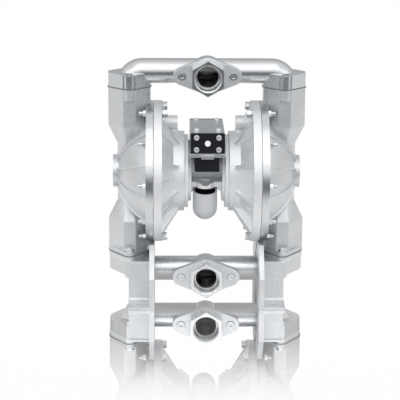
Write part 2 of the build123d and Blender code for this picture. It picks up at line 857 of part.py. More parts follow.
def port_flange(side):
    """A rhombic flange with a hexagonal boss, threaded G2."""
    height = side * manifold_offset
    with BuildPart() as port:
        with BuildSketch(facing(port_flange_back, 0, height)):
            rhombic_outline()
        extrude(amount=port_flange_front - port_flange_back)
        with BuildSketch(facing(port_flange_front, 0, height)):
            RegularPolygon(hex_width / 2, 6, major_radius=False, rotation=30)
        extrude(amount=hex_front - port_flange_front)
        with BuildSketch(facing(port_flange_back, 0, height)):
            Circle(pipe_bore)
        extrude(amount=hex_front - port_flange_back, mode=Mode.SUBTRACT)
        with BuildSketch(facing(hex_front, 0, height)):
            Circle(thread_radius)
        extrude(amount=-thread_depth, mode=Mode.SUBTRACT)
        mouth = port.edges().filter_by(GeomType.CIRCLE).sort_by(Axis.Y)[0]
        chamfer(mouth, port_chamfer)
        with BuildSketch(facing(port_flange_front, 0, height)):
            with Locations((port_bolt_offset, 0), (-port_bolt_offset, 0)):
                Circle(m12_cap_radius + hole_gap)
        extrude(amount=-port_screw_seat, mode=Mode.SUBTRACT)
        with BuildSketch(facing(port_flange_front, 0, height)):
            with Locations((port_bolt_offset, 0), (-port_bolt_offset, 0)):
                Circle(chamber_bolt_radius + hole_gap)
        extrude(amount=port_flange_back - port_flange_front, mode=Mode.SUBTRACT)
    return port.part


# Ball valves
def valve_seat(height, x):
    with BuildPart() as seat:
        with BuildSketch(level(height - seat_thickness, x)):
            Circle(neck_bore - seat_gap)
            Circle(seat_bore, mode=Mode.SUBTRACT)
        extrude(amount=seat_thickness)
    return seat.part


def ball(height, x):
    with BuildPart() as sphere:
        with Locations((x, 0, shaft_height + height + ball_over_seat)):
            Sphere(ball_radius)
    return sphere.part


def ball_cage(bottom, top, x):
    """A ring with fins down to the seat and a cross bar that stops the ball."""
    stop = bottom + ball_over_seat + ball_lift + ball_radius + cage_gap
    with BuildPart() as cage:
        with BuildSketch(level(bottom, x)):
            Circle(neck_bore - seat_gap)
            Circle(ball_radius + cage_gap, mode=Mode.SUBTRACT)
        extrude(amount=top - bottom)
        with BuildSketch(level(bottom, x)):
            with PolarLocations(neck_bore, cage_fins, start_angle=180 / cage_fins):
                Rectangle(cage_window_depth, cage_window_width)
        extrude(amount=stop - bottom, mode=Mode.SUBTRACT)
        with BuildSketch(level(stop, x)):
            for turn in (0, 90):
                Rectangle(2 * (ball_radius + cage_gap) + cage_fin, cage_fin, rotation=turn)
        extrude(amount=min(cage_bar, top - stop))
    return cage.part


# Leg: side plate under the chamber flange, saddle clamped in the lower joint, webs and feet
def leg():
    cradle = flange_radius + cradle_gap
    saddle_height = shaft_height - saddle_bottom
    with BuildPart() as frame:
        with BuildSketch(across(leg_inner)):
            with BuildLine():
                Polyline(
                    (-foot_half_depth, -shaft_height), (foot_half_depth, -shaft_height),
                    (foot_half_depth, plate_slope_start - shaft_height),
                    (plate_shoulder, -plate_top), (-plate_shoulder, -plate_top),
                    (-foot_half_depth, plate_slope_start - shaft_height), close=True,
                )
            make_face()
            Circle(cradle, mode=Mode.SUBTRACT)
            with Locations((0, -shaft_height)):
                Rectangle(2 * arch_half_width, 2 * saddle_height, mode=Mode.SUBTRACT)
            with Locations((0, -saddle_top)):
                Rectangle(2 * neck_notch, cradle, align=(Align.CENTER, Align.MIN), mode=Mode.SUBTRACT)
        extrude(amount=plate_thickness)
        with BuildSketch(level(-saddle_bottom, neck_offset)):
            eared_outline()
        extrude(amount=saddle_thickness)
        with BuildSketch(level(-saddle_bottom, leg_inner)):
            Rectangle(foot_outer - leg_inner, 2 * (web_front + shelf_lip), align=(Align.MIN, Align.CENTER))
        extrude(amount=shelf_thickness)
        for side in (1, -1):
            with BuildSketch(Plane(origin=(leg_inner, side * (web_front - web_thickness / 2), 0))):
                Rectangle(foot_outer - leg_inner, web_thickness, align=(Align.MIN, Align.CENTER))
            extrude(amount=saddle_height)
            with BuildSketch(Plane(origin=(leg_inner, side * web_front, 0))):
                Rectangle(
                    foot_outer - leg_inner, foot_half_depth - web_front,
                    align=(Align.MIN, Align.MIN if side > 0 else Align.MAX),
                )
            extrude(amount=foot_thickness)
        with BuildSketch(level(-saddle_bottom, neck_offset)):
            Circle(saddle_bore)
            with Locations((0, ear_reach), (0, -ear_reach)):
                Circle(joint_bolt_radius + hole_gap)
        extrude(amount=saddle_thickness, mode=Mode.SUBTRACT)
        with BuildSketch(Plane.XY):
            with Locations((foot_hole_x, foot_hole_y), (foot_hole_x, -foot_hole_y)):
                Circle(foot_hole_radius)
        extrude(amount=foot_thickness, mode=Mode.SUBTRACT)
    return frame.part


# Fasteners
def hexagon(width):
    RegularPolygon(width / 2, 6, major_radius=False)


def chamber_bolt_set():
    """Bolts with heads above and below; those beside the hub are studs."""
    turns = [radians(number * 360 / chamber_bolts) for number in range(chamber_bolts)]
    spots = [(bolt_circle * cos(turn), bolt_circle * sin(turn)) for turn in turns]
    headed = [spot for spot in spots if abs(spot[1]) > stud_band]
    with BuildPart() as bolts:
        with BuildSketch(across(inner_face)):
            with Locations(*headed):
                Circle(m10_washer_radius)
        extrude(amount=-m10_washer_thickness)
        with BuildSketch(across(inner_face - m10_washer_thickness)):
            with Locations(*headed):
                hexagon(m10_head_width)
        extrude(amount=-m10_head_height)
        with BuildSketch(across(inner_face)):
            with PolarLocations(bolt_circle, chamber_bolts):
                Circle(chamber_bolt_radius)
        extrude(amount=outer_face + chamber_nut_height + chamber_bolt_end - inner_face)
    return bolts.part


def chamber_nut_set():
    with BuildPart() as nuts:
        with BuildSketch(across(outer_face)):
            with PolarLocations(bolt_circle, chamber_bolts):
                hexagon(chamber_nut_width)
                Circle(chamber_bolt_radius + thread_gap, mode=Mode.SUBTRACT)
        extrude(amount=chamber_nut_height)
    return nuts.part


def centre_bolt_set():
    with BuildPart() as bolts:
        with BuildSketch(across(disc_face)):
            with PolarLocations(centre_bolt_circle, centre_bolts, -45, 90, endpoint=True):
                hexagon(2 * m8_head_radius)
        extrude(amount=-m8_head_height)
        with BuildSketch(across(disc_face)):
            with PolarLocations(centre_bolt_circle, centre_bolts, -45, 90, endpoint=True):
                Circle(centre_bolt_radius)
        extrude(amount=disc_thickness + centre_bolt_depth)
    return bolts.part


def upper_screws():
    seat = upper_block_top - upper_screw_seat
    spots = [(side * neck_offset, end * screw_reach) for side in (1, -1) for end in (1, -1)]
    with BuildPart() as screws:
        with BuildSketch(level(seat)):
            with Locations(*spots):
                Circle(m12_cap_radius)
        extrude(amount=m12_cap_height)
        with BuildSketch(level(seat)):
            with Locations(*spots):
                Circle(joint_bolt_radius)
        extrude(amount=upper_joint - upper_screw_thread - seat)
        with BuildSketch(level(seat + m12_cap_height)):
            with Locations(*spots):
                hexagon(2 * m12_socket)
        extrude(amount=-m12_cap_height / 2, mode=Mode.SUBTRACT)
    return screws.part


def lower_spots():
    return [(side * neck_offset, end * ear_reach) for side in (1, -1) for end in (1, -1)]


def lower_bolts():
    with BuildPart() as bolts:
        with BuildSketch(level(-lower_block_bottom)):
            with Locations(*lower_spots()):
                hexagon(m12_head_width)
        extrude(amount=-m12_head_height)
        with BuildSketch(level(-lower_block_bottom)):
            with Locations(*lower_spots()):
                Circle(joint_bolt_radius)
        extrude(amount=lower_block_bottom - lower_joint + ear_thickness + m12_nut_height + joint_bolt_end)
    return bolts.part


def lower_nuts():
    with BuildPart() as nuts:
        with BuildSketch(level(ear_thickness - lower_joint)):
            with Locations(*lower_spots()):
                hexagon(m12_head_width)
            with Locations(*lower_spots()):
                Circle(joint_bolt_radius + thread_gap, mode=Mode.SUBTRACT)
        extrude(amount=m12_nut_height)
    return nuts.part


def port_screws():
    with BuildPart() as screws:
        for side in (1, -1):
            height = side * manifold_offset
            seat = port_flange_front - port_screw_seat
            with BuildSketch(facing(seat, 0, height)):
                with Locations((port_bolt_offset, 0), (-port_bolt_offset, 0)):
                    Circle(m12_cap_radius)
            extrude(amount=port_screw_head)
            with BuildSketch(facing(seat, 0, height)):
                with Locations((port_bolt_offset, 0), (-port_bolt_offset, 0)):
                    Circle(chamber_bolt_radius)
            extrude(amount=port_flange_back - manifold_flange_thickness - seat)
            with BuildSketch(facing(seat + port_screw_head, 0, height)):
                with Locations((port_bolt_offset, 0), (-port_bolt_offset, 0)):
                    hexagon(port_screw_socket)
            extrude(amount=-port_screw_head / 2, mode=Mode.SUBTRACT)
    return screws.part


def cap_screws():
    with BuildPart() as screws:
        with BuildSketch(facing(valve_front, 0, valve_middle)):
            with GridLocations(2 * cap_screw_x, 2 * cap_screw_z, 2, 2):
                Circle(valve_screw_head)
        extrude(amount=valve_screw_head_height)
        with BuildSketch(facing(valve_front, 0, valve_middle)):
            with GridLocations(2 * cap_screw_x, 2 * cap_screw_z, 2, 2):
                Circle(valve_screw_radius)
        extrude(amount=-front_cap - valve_screw_depth)
    return screws.part


def top_screws():
    with BuildPart() as screws:
        with BuildSketch(level(valve_top, 0, (top_screw_back - top_screw_front) / 2)):
            with GridLocations(2 * top_screw_x, top_screw_front + top_screw_back, 2, 2):
                Circle(valve_screw_head)
        extrude(amount=valve_screw_head_height)
        with BuildSketch(level(valve_top, 0, (top_screw_back - top_screw_front) / 2)):
            with GridLocations(2 * top_screw_x, top_screw_front + top_screw_back, 2, 2):
                Circle(valve_screw_radius)
        extrude(amount=-valve_screw_depth)
    return screws.part


keep_both(outer_chamber(), "outer_chamber")
keep_both(inner_chamber(), "inner_chamber")
keep_both(air_plug(), "air_plug")
keep_both(diaphragm(), "diaphragm")
keep_both(diaphragm_plate(plate_inner_face, -inner_plate_thickness), "inner_plate")
keep_both(diaphragm_plate(plate_outer_face, outer_plate_thickness), "outer_plate")
keep_both(shaft_nut(), "shaft_nut")
keep(main_shaft(), "main_shaft")
keep(centre_body(), "centre_body")
keep_both(shaft_bush(), "shaft_bush")
keep(pilot_rod(), "pilot_rod")

keep(valve_base(), "valve_base")
keep(valve_gasket(), "valve_gasket")
keep(valve_body(), "valve_body")
keep(valve_cap(valve_front, front_cap, air_inlet_radius), "valve_front_cap")
keep(valve_cap(rear_cap - valve_back, rear_cap, 0), "valve_rear_cap")
keep(inlet_plug(), "air_inlet_plug")
keep(valve_spool(), "valve_spool")
keep(pilot_block(), "pilot_block")
keep(exhaust_cup(), "exhaust_cup")

keep(manifold(1), "discharge_manifold")
keep(manifold(-1), "inlet_manifold")
keep(port_flange(1), "discharge_port_flange")
keep(port_flange(-1), "inlet_port_flange")
keep(joint_gaskets(1), "upper_joint_gaskets")
keep(joint_gaskets(-1), "lower_joint_gaskets")
keep_both(leg(), "leg")

lower_seat_top = seat_thickness - lower_joint
keep_both(valve_seat(neck_top_ledge, neck_offset), "upper_seat")
keep_both(valve_seat(lower_seat_top, neck_offset), "lower_seat")
keep_both(ball(neck_top_ledge, neck_offset), "upper_ball")
keep_both(ball(lower_seat_top, neck_offset), "lower_ball")
keep_both(ball_cage(neck_top_ledge, upper_joint, neck_offset), "upper_cage")
keep_both(ball_cage(lower_seat_top, -seat_ledge, neck_offset), "lower_cage")

keep_both(chamber_bolt_set(), "chamber_bolts")
keep_both(chamber_nut_set(), "chamber_nuts")
keep_both(centre_bolt_set(), "centre_bolts")
keep(upper_screws(), "upper_joint_screws")
keep(lower_bolts(), "lower_joint_bolts")
keep(lower_nuts(), "lower_joint_nuts")
keep(port_screws(), "port_screws")
keep(cap_screws(), "cap_screws")
keep(top_screws(), "valve_top_screws")
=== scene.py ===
import bpy
import bmesh
import json
import math
from mathutils import Matrix, Vector


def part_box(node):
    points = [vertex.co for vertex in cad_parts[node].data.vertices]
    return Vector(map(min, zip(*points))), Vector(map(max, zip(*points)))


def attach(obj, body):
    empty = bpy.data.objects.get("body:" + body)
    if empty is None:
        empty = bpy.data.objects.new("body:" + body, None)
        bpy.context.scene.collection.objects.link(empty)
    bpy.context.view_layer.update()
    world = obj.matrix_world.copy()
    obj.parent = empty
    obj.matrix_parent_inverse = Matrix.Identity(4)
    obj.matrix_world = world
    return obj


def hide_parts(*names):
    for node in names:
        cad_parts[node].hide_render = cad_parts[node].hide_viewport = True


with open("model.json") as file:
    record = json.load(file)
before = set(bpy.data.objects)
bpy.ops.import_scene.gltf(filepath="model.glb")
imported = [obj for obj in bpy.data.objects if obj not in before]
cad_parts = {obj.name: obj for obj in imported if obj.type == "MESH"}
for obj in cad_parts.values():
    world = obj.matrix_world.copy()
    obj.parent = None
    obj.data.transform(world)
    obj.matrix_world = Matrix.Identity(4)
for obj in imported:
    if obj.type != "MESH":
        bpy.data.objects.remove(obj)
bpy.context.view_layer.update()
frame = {"nodes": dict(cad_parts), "record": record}
nodes = frame["nodes"]
scene = bpy.context.scene
scene.view_settings.view_transform = "Standard"
print("frame loaded:", len(nodes), "nodes")

shaftHeight = 0.298      # metres from the floor to the main shaft
portHeight = 0.239       # metres from the shaft up or down to the ports and manifold pipes


# Shader maths: wraps a socket, and an expression on it adds Math nodes
class Value:
    def __init__(self, look, socket):
        self.look = look
        self.socket = socket

    def maths(self, operation, first, second=0.0):
        return self.look.node("ShaderNodeMath", {"operation": operation}, {0: first, 1: second})

    def __add__(self, other):
        return self.maths("ADD", self, other)

    def __radd__(self, other):
        return self.maths("ADD", other, self)

    def __sub__(self, other):
        return self.maths("SUBTRACT", self, other)

    def __rsub__(self, other):
        return self.maths("SUBTRACT", other, self)

    def __mul__(self, other):
        return self.maths("MULTIPLY", self, other)

    def __rmul__(self, other):
        return self.maths("MULTIPLY", other, self)

    def __truediv__(self, other):
        return self.maths("DIVIDE", self, other)

    def __pow__(self, other):
        return self.maths("POWER", self, other)

    def size(self):
        return self.maths("ABSOLUTE", self)

    def lower(self, other):
        return self.maths("MINIMUM", self, other)

    def wave(self, length):
        return self.maths("PINGPONG", self, length / 2) / (length / 2)

    def between(self, low, high):            # smooth step from 0 at low to 1 at high
        return self.look.node("ShaderNodeMapRange", {"interpolation_type": "SMOOTHSTEP"},
                              {"Value": self, "From Min": low, "From Max": high})

    def past(self, edge, soft=0.0002):       # 0 before an edge and 1 past it
        return self.between(edge - soft, edge + soft)

    def stretched(self, margin=0.3):         # a noise's middle values drawn out to 0 and 1
        return self.between(margin, 1 - margin)


# One material's node tree: node() makes any node from its type, settings and sockets' values or links
class Look:
    def __init__(self, name, owner=None):
        self.holder = owner or bpy.data.materials.new(name)
        self.holder.use_nodes = True
        self.tree = self.holder.node_tree
        self.tree.nodes.clear()

    def node(self, kind, settings=None, sockets=None, output=0):
        made = self.tree.nodes.new(kind)
        for key, setting in (settings or {}).items():
            setattr(made, key, setting)
        for key, value in (sockets or {}).items():
            if isinstance(value, Value):
                self.tree.links.new(value.socket, made.inputs[key])
            else:
                made.inputs[key].default_value = value
        if isinstance(output, tuple):
            return [Value(self, made.outputs[key]) for key in output]
        return Value(self, made.outputs[output]) if output is not None else None

    def mixColour(self, factor, first, second):
        return self.node("ShaderNodeMix", {"data_type": "RGBA"}, {0: factor, 6: first, 7: second}, 2)

    def place(self):
        return self.node("ShaderNodeTexCoord", None, None, "Object")

    def axes(self, where=None):
        return self.node("ShaderNodeSeparateXYZ", None, {0: where or self.place()}, ("X", "Y", "Z"))

    def noise(self, size, detail=2.0):
        return self.node("ShaderNodeTexNoise", None,
                         {"Vector": self.place(), "Scale": 1 / size, "Detail": detail})

    def rounded(self, radius):               # the normal, as if every edge had this radius
        return self.node("ShaderNodeBevel", {"samples": 6}, {"Radius": radius})

    def finish(self, sockets):
        shader = self.node("ShaderNodeBsdfPrincipled", None, sockets)
        self.node("ShaderNodeOutputMaterial", None, {"Surface": shader}, None)
        return self.holder


def grey(level, cool=0.0):
    return (level - cool, level, level + cool, 1.0)


def distance(*offsets):
    total = offsets[0] * offsets[0]
    for offset in offsets[1:]:
        total = total + offset * offset
    return total ** 0.5


# Places on the metal that are machined, painted with shade (inside the pipe bores) or threaded: each
# function gives 0 elsewhere and 1 there
metalPlaces = {
    "rimRadius": 0.165, "rimReach": 0.1416,        # edge of an outer chamber's flange, inside of this x
    "hexagonFront": 0.0796,
    "boreRadius": 0.02485, "boreSoft": 0.00015, "boreEnd": (0.09, 0.12),
    "portBack": (-0.028, -0.022), "portBackOffset": 0.1,
    "boltThread": 0.1488,
}


def chamberRim(look):
    x, y, z = look.axes()
    inReach = 1 - x.size().past(metalPlaces["rimReach"])
    return distance(y, z - shaftHeight).past(metalPlaces["rimRadius"]) * inReach


def portHexagon(look):
    x, y, z = look.axes()
    return (0 - y).past(metalPlaces["hexagonFront"])


# painted shade inside the pipe bores, near the ports
def pipeBoreShade(look):
    x, y, z = look.axes()
    height = (z - shaftHeight).size() - portHeight
    behind = y.between(*metalPlaces["portBack"]) * metalPlaces["portBackOffset"]
    nearest = distance(y, height).lower(distance(x, height) + behind)
    inside = 1 - nearest.past(metalPlaces["boreRadius"], metalPlaces["boreSoft"])
    return inside * (1 - x.size().between(*metalPlaces["boreEnd"]))


def boltThread(look):
    x, y, z = look.axes()
    return x.size().past(metalPlaces["boltThread"])


# Metals: blasted or machined, with edges given a painted highlight and smoothed by wear, painted shade in
# creases, grain and slow changes of tone
metalLooks = {
    "castStainless": {"tone": 0.79, "rough": 0.50, "cloud": 0.17, "bump": 0.00010},
    "chamberCasting": {"tone": 0.75, "rough": 0.50, "cloud": 0.15, "bump": 0.00010,
                       "machined": chamberRim, "machinedRough": 0.26},
    "innerCasting": {"tone": 0.93, "rough": 0.56, "cloud": 0.14, "bump": 0.00010, "metallic": 0.80},
    "centreCasting": {"tone": 0.93, "rough": 0.60, "cloud": 0.10, "bump": 0.00010, "metallic": 0.55},
    "valveCasting": {"tone": 0.64, "rough": 0.42, "bump": 0.00005},
    "portCasting": {"tone": 0.84, "rough": 0.48, "cloud": 0.20, "bump": 0.00016,
                    "machined": portHexagon, "machinedRough": 0.16},
    "pipeStainless": {"tone": 0.68, "rough": 0.29, "bump": 0.00004, "grit": 0.10, "boreShade": pipeBoreShade},
    "brightSteel": {"tone": 0.74, "rough": 0.22},
    "zincScrew": {"tone": 0.90, "rough": 0.42},
    "boltSteel": {"tone": 0.70, "rough": 0.24, "thread": 0.0015},
    "darkSteel": {"tone": 0.42, "rough": 0.26},
    "bronze": {"tone": 0.40, "cool": -0.05, "rough": 0.35, "bump": 0.00004},
}
grainSize = {"fine": 0.0011, "speckle": 0.00264, "patch": 0.009, "cloud": 0.045}   # metres
grainTone = {"fine": 0.30, "speckle": 0.45, "cloud": 0.25}           # shares of the change in tone
grainRough = {"fine": 0.10, "patch": 0.16, "machinedPatch": 0.06}    # changes in roughness
grainRelief = {"speckle": 0.8, "patch": 0.8, "machined": 0.3, "threaded": 0.05}    # fine grain is 1
# Edges: a painted highlight makes their colour brighter, and wear makes their roughness lower
edgeWearAndHighlight = {
    "round": 0.0014,                         # metres, the radius that an edge seems to have
    "lean": (0.005, 0.09),                   # lean of the rounded edge at which the painted highlight and the wear begin and are full
    # tone: how much brighter the painted highlight makes an edge; polish: how much smoother wear makes it
    "share": 0.9, "tone": 1.3, "polish": 0.45,
}
creaseShade = {
    "reach": 0.006,                          # metres that the painted shade reaches out of a crease
    "open": (0.15, 0.75),                    # openness at which the painted shade is full and gone
    "share": 0.30, "tone": 0.35,
}
lightest = 0.95                              # no metal's colour goes above this
lightShare = 0.6                             # how far the light clouds rise, against the dark ones
# tone of the painted shade inside the pipe bores
boreShadeTone = 0.30
threadRelief = 8


def metal(name, tone, rough, cloud=0.05, cool=0.014, bump=0.00003, grit=0.20, metallic=1.0,
          machined=None, machinedRough=None, boreShade=None, thread=None):
    look = Look(name)
    soft = look.rounded(edgeWearAndHighlight["round"])
    flat = look.node("ShaderNodeNewGeometry", None, None, "Normal")
    facing = look.node("ShaderNodeVectorMath", {"operation": "DOT_PRODUCT"},
                       {0: soft, 1: flat}, "Value")
    # mask of the edges: painted highlight in the colour, smoother wear in the roughness
    wornAndHighlit = (1 - facing).between(*edgeWearAndHighlight["lean"]) * edgeWearAndHighlight["share"]
    # painted shade in creases: colour darkened where ambient occlusion finds them closed
    openness = look.node("ShaderNodeAmbientOcclusion", {"samples": 4},
                         {"Distance": creaseShade["reach"]}, "AO")
    creaseShadeMask = 1 - openness.between(*creaseShade["open"])
    fine = look.noise(grainSize["fine"], 3.0)
    speckle = look.noise(grainSize["speckle"])
    patch = look.noise(grainSize["patch"], 3.0)
    broad = look.noise(grainSize["cloud"])

    dark = grey(tone * (1 - cloud), cool)
    light = grey(min(lightest, tone * (1 + cloud * lightShare)), cool)
    mottle = (broad.stretched(0.35) * grainTone["cloud"] + fine.stretched() * grainTone["fine"]
              + speckle.stretched() * grainTone["speckle"])
    colour = look.mixColour(mottle, dark, light)
    # painted shade in the creases
    colour = look.mixColour(creaseShadeMask * creaseShade["share"], colour, grey(tone * creaseShade["tone"], cool))
    # painted highlight on the edges, kept out of the creases
    wornHighlightColour = grey(min(lightest, tone * edgeWearAndHighlight["tone"]), cool / 2)
    colour = look.mixColour(wornAndHighlit * (1 - creaseShadeMask), colour, wornHighlightColour)
    # painted shade inside the pipe bores
    if boreShade:
        colour = look.mixColour(boreShade(look), colour, grey(boreShadeTone))

    skin = ((patch - 0.5) * grainRough["patch"] + rough + (fine - 0.5) * grainRough["fine"]
            + (speckle - 0.5) * grit)
    relief = fine + patch * grainRelief["patch"] + speckle * grainRelief["speckle"]
    if machined:
        cut = machined(look)
        cutSkin = (patch - 0.5) * grainRough["machinedPatch"] + machinedRough
        skin = skin * (1 - cut) + cutSkin * cut
        relief = relief * (1 - cut * (1 - grainRelief["machined"]))
    if thread:
        x, y, z = look.axes()
        relief = relief * grainRelief["threaded"] + x.wave(thread) * boltThread(look) * threadRelief
    roughness = skin - wornAndHighlit * rough * edgeWearAndHighlight["polish"]
    normal = look.node("ShaderNodeBump", None,
                       {"Strength": 0.6, "Distance": bump, "Height": relief, "Normal": soft})
    return look.finish({"Base Color": colour, "Metallic": metallic, "Roughness": roughness,
                        "Normal": normal})


# Inside of the exhaust cup: painted shade, dark up to its lip
cupInside = {"x": -0.0035, "y": -0.045, "roundFrom": 0.221, "radius": 0.02445, "soft": 0.00015}


def cupInsideShade(look):
    x, y, z = look.axes()
    below = (z - cupInside["roundFrom"]).lower(0.0)
    fromMiddle = distance(x - cupInside["x"], y - cupInside["y"], below)
    return 1 - fromMiddle.past(cupInside["radius"], cupInside["soft"])


# Plastics and rubber: moulded grain and a little change of tone
mouldedLooks = {
    "blackPlastic": {"colour": (0.005, 0.006, 0.009), "rough": 0.50, "grain": 0.0012, "bump": 0.00012},
    "greyPlastic": {"colour": (0.54, 0.55, 0.57), "rough": 0.50, "grain": 0.0006, "bump": 0.00004,
                    "hollowShade": cupInsideShade},
    "whitePlastic": {"colour": (0.82, 0.82, 0.82), "rough": 0.35, "grain": 0.0006, "bump": 0.00003},
    "darkRubber": {"colour": (0.025, 0.025, 0.027), "rough": 0.62, "grain": 0.0009, "bump": 0.00006},
    "greyGasket": {"colour": (0.16, 0.165, 0.17), "rough": 0.60, "grain": 0.0009, "bump": 0.00006},
}
mouldedSurface = {
    "edgeRound": 0.00112, "cloudSize": 0.02,                  # metres
    # the last tone below is that of the painted shade inside the exhaust cup
    "lighter": 1.12, "lift": 0.002, "rough": 0.1, "shine": 0.3, "hollowShadeTone": 0.006,
}


def moulded(name, colour, rough, grain, bump, hollowShade=None):
    look = Look(name)
    soft = look.rounded(mouldedSurface["edgeRound"])
    fine = look.noise(grain)
    broad = look.noise(mouldedSurface["cloudSize"])
    light = tuple(part * mouldedSurface["lighter"] + mouldedSurface["lift"] for part in colour)
    mottle = broad.stretched() * 0.5 + fine.stretched() * 0.5
    tint = look.mixColour(mottle, colour + (1.0,), light + (1.0,))
    # painted shade in the hollow of the exhaust cup
    if hollowShade:
        tint = look.mixColour(hollowShade(look), tint, grey(mouldedSurface["hollowShadeTone"]))
    roughness = (broad - 0.5) * mouldedSurface["rough"] + rough
    normal = look.node("ShaderNodeBump", None,
                       {"Strength": 0.5, "Distance": bump, "Height": fine, "Normal": soft})
    return look.finish({"Base Color": tint, "Roughness": roughness, "Normal": normal,
                        "Specular IOR Level": mouldedSurface["shine"]})


looks = {name: metal(name, **values) for name, values in metalLooks.items()}
looks.update({name: moulded(name, **values) for name, values in mouldedLooks.items()})
print("materials made:", len(looks))

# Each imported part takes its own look, or else that of its material in the record
slotLooks = {
    "cast_stainless": "castStainless", "machined_stainless": "portCasting",
    "cast_aluminium": "innerCasting", "steel_screw": "brightSteel", "bronze": "bronze",
    "black_plastic": "blackPlastic", "grey_plastic": "greyPlastic", "white_plastic": "whitePlastic",
    "dark_rubber": "darkRubber",
}
nodeLooks = {
    "outer_chamber_left": "chamberCasting", "outer_chamber_right": "chamberCasting",
    "centre_body": "centreCasting", "valve_base": "valveCasting", "valve_body": "valveCasting",
    "discharge_manifold": "pipeStainless", "inlet_manifold": "pipeStainless",
    "chamber_bolts_left": "boltSteel", "chamber_bolts_right": "boltSteel",
    "cap_screws": "zincScrew", "valve_top_screws": "zincScrew", "upper_joint_screws": "darkSteel",
    "upper_joint_gaskets": "greyGasket", "lower_joint_gaskets": "greyGasket",
}
for part in frame["record"]["subparts"]:
    name = part["node"]
    materials = nodes[name].data.materials
    materials.clear()
    materials.append(looks[nodeLooks.get(name, slotLooks[part["material_slot"]])])
print("materials given to the packed parts")


def pickEdges(piece, test):                  # selects each edge whose two ends both pass
    bpy.ops.mesh.select_mode(type="EDGE")
    shape = bmesh.from_edit_mesh(piece.data)
    for edge in shape.edges:
        edge.select_set(all(test(end.co) for end in edge.verts))
    bmesh.update_edit_mesh(piece.data)


def copyTo(piece, name, place, tilt=0, turn=0):        # degrees about x, and about the vertical
    copy = piece.copy()
    copy.data = piece.data.copy()
    copy.name = name
    copy.location = place
    copy.rotation_euler = (math.radians(tilt), 0, math.radians(turn))
    bpy.context.collection.objects.link(copy)
    return copy


def selectOnly(pieces):
    bpy.ops.object.select_all(action="DESELECT")
    for piece in pieces:
        piece.select_set(True)
    bpy.context.view_layer.objects.active = pieces[0]


def finishPiece(piece, look, smooth=35):
    selectOnly([piece])
    bpy.ops.object.transform_apply(location=True, rotation=True, scale=True)
    bpy.ops.object.shade_smooth_by_angle(angle=math.radians(smooth))
    piece.data.materials.clear()
    piece.data.materials.append(looks[look])
    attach(piece, "pump_body")


# Socket screws of the air valve: a chamfered round head with a six-sided socket, modelled once and copied
screwHead = {"radius": 0.0062, "height": 0.006, "socket": 0.0029, "depth": 0.0035, "chamfer": 0.0008}
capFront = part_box("cap_screws")[0][1]
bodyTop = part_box("valve_top_screws")[1][2]
screwSets = {
    "cap_screws": {
        "tilt": 90,
        "places": [(x, capFront, z) for x in (-0.0255, 0.0255) for z in (0.37615, 0.40415)],
    },
    "valve_top_screws": {
        "tilt": 0,
        "places": [(x, y, bodyTop) for x in (-0.025, 0.025) for y in (-0.095, 0.020)],
    },
}


def makeScrewHead(radius, height, socket, depth, chamfer):
    bpy.ops.object.select_all(action="DESELECT")
    bpy.ops.mesh.primitive_circle_add(vertices=36, radius=radius)
    head = bpy.context.object
    bpy.ops.object.mode_set(mode="EDIT")
    bpy.ops.mesh.select_all(action="DESELECT")
    bpy.ops.mesh.primitive_circle_add(vertices=6, radius=socket)
    bpy.ops.mesh.select_all(action="SELECT")
    bpy.ops.mesh.bridge_edge_loops()             # flat face round the socket
    pickEdges(head, lambda point: point.xy.length < socket * 1.1)
    bpy.ops.mesh.extrude_edges_move(TRANSFORM_OT_translate={"value": (0, 0, -depth)})
    bpy.ops.mesh.edge_face_add()                 # floor of the socket
    pickEdges(head, lambda point: point.xy.length > radius * 0.99)
    bpy.ops.mesh.extrude_edges_move(TRANSFORM_OT_translate={"value": (0, 0, -height)})
    bpy.ops.mesh.edge_face_add()                 # underside of the head
    pickEdges(head, lambda point: point.xy.length > radius * 0.99 and point.z > -height / 2)
    bpy.ops.mesh.bevel(offset=chamfer, segments=3, affect="EDGES")
    bpy.ops.mesh.select_all(action="SELECT")
    bpy.ops.mesh.normals_make_consistent(inside=False)
    bpy.ops.object.mode_set(mode="OBJECT")
    return head


def placeScrewHeads(head, node, tilt, places):
    selectOnly([copyTo(head, node + "Heads", place, tilt) for place in places])
    bpy.ops.object.join()
    heads = bpy.context.object
    finishPiece(heads, "zincScrew")
    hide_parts(node)


head = makeScrewHead(**screwHead)
for name, values in screwSets.items():
    placeScrewHeads(head, name, **values)
bpy.data.objects.remove(head)
print("screw heads modelled")


# Weld in the corner between each post of the legs and its foot, modelled once at a back corner and copied
footWeld = {"inner": 0.1335, "outer": 0.1815, "post": 0.083, "foot": 0.0065, "reach": 0.0035}


def makeFootWeld(inner, outer, post, foot, reach):
    bpy.ops.object.select_all(action="DESELECT")
    place = ((inner + outer) / 2, post + reach / 2, foot + reach / 2)
    bpy.ops.mesh.primitive_cube_add(size=1, location=place)
    weld = bpy.context.object
    bpy.ops.object.mode_set(mode="EDIT")
    bpy.ops.mesh.select_all(action="SELECT")
    bpy.ops.transform.resize(value=(outer - inner, reach, reach))
    pickEdges(weld, lambda point: point.y > 0 and point.z > 0)
    bpy.ops.mesh.bevel(offset=reach * 0.96, segments=6, profile=0.12, affect="EDGES")
    bpy.ops.object.mode_set(mode="OBJECT")
    return weld


weld = makeFootWeld(**footWeld)
for side, sideName in ((-1, "Left"), (1, "Right")):
    for end, endName, turn in ((-1, "Front", 180), (1, "Back", 0)):
        place = (side * weld.location.x, end * weld.location.y, weld.location.z)
        copy = copyTo(weld, "footWeld" + sideName + endName, place, turn=turn)
        finishPiece(copy, "castStainless")
bpy.data.objects.remove(weld)
print("foot welds modelled")


# Thread in each port: one ridge's outline, carried round and inwards by the Screw modifier, then copied
portThread = {
    "mouth": 0.1105, "rootRadius": 0.0298, "crestRadius": 0.02835,
    "pitch": 0.00231, "width": 0.97,         # the ridge's width, as a share of the pitch
    "turns": 10, "steps": 64,
}


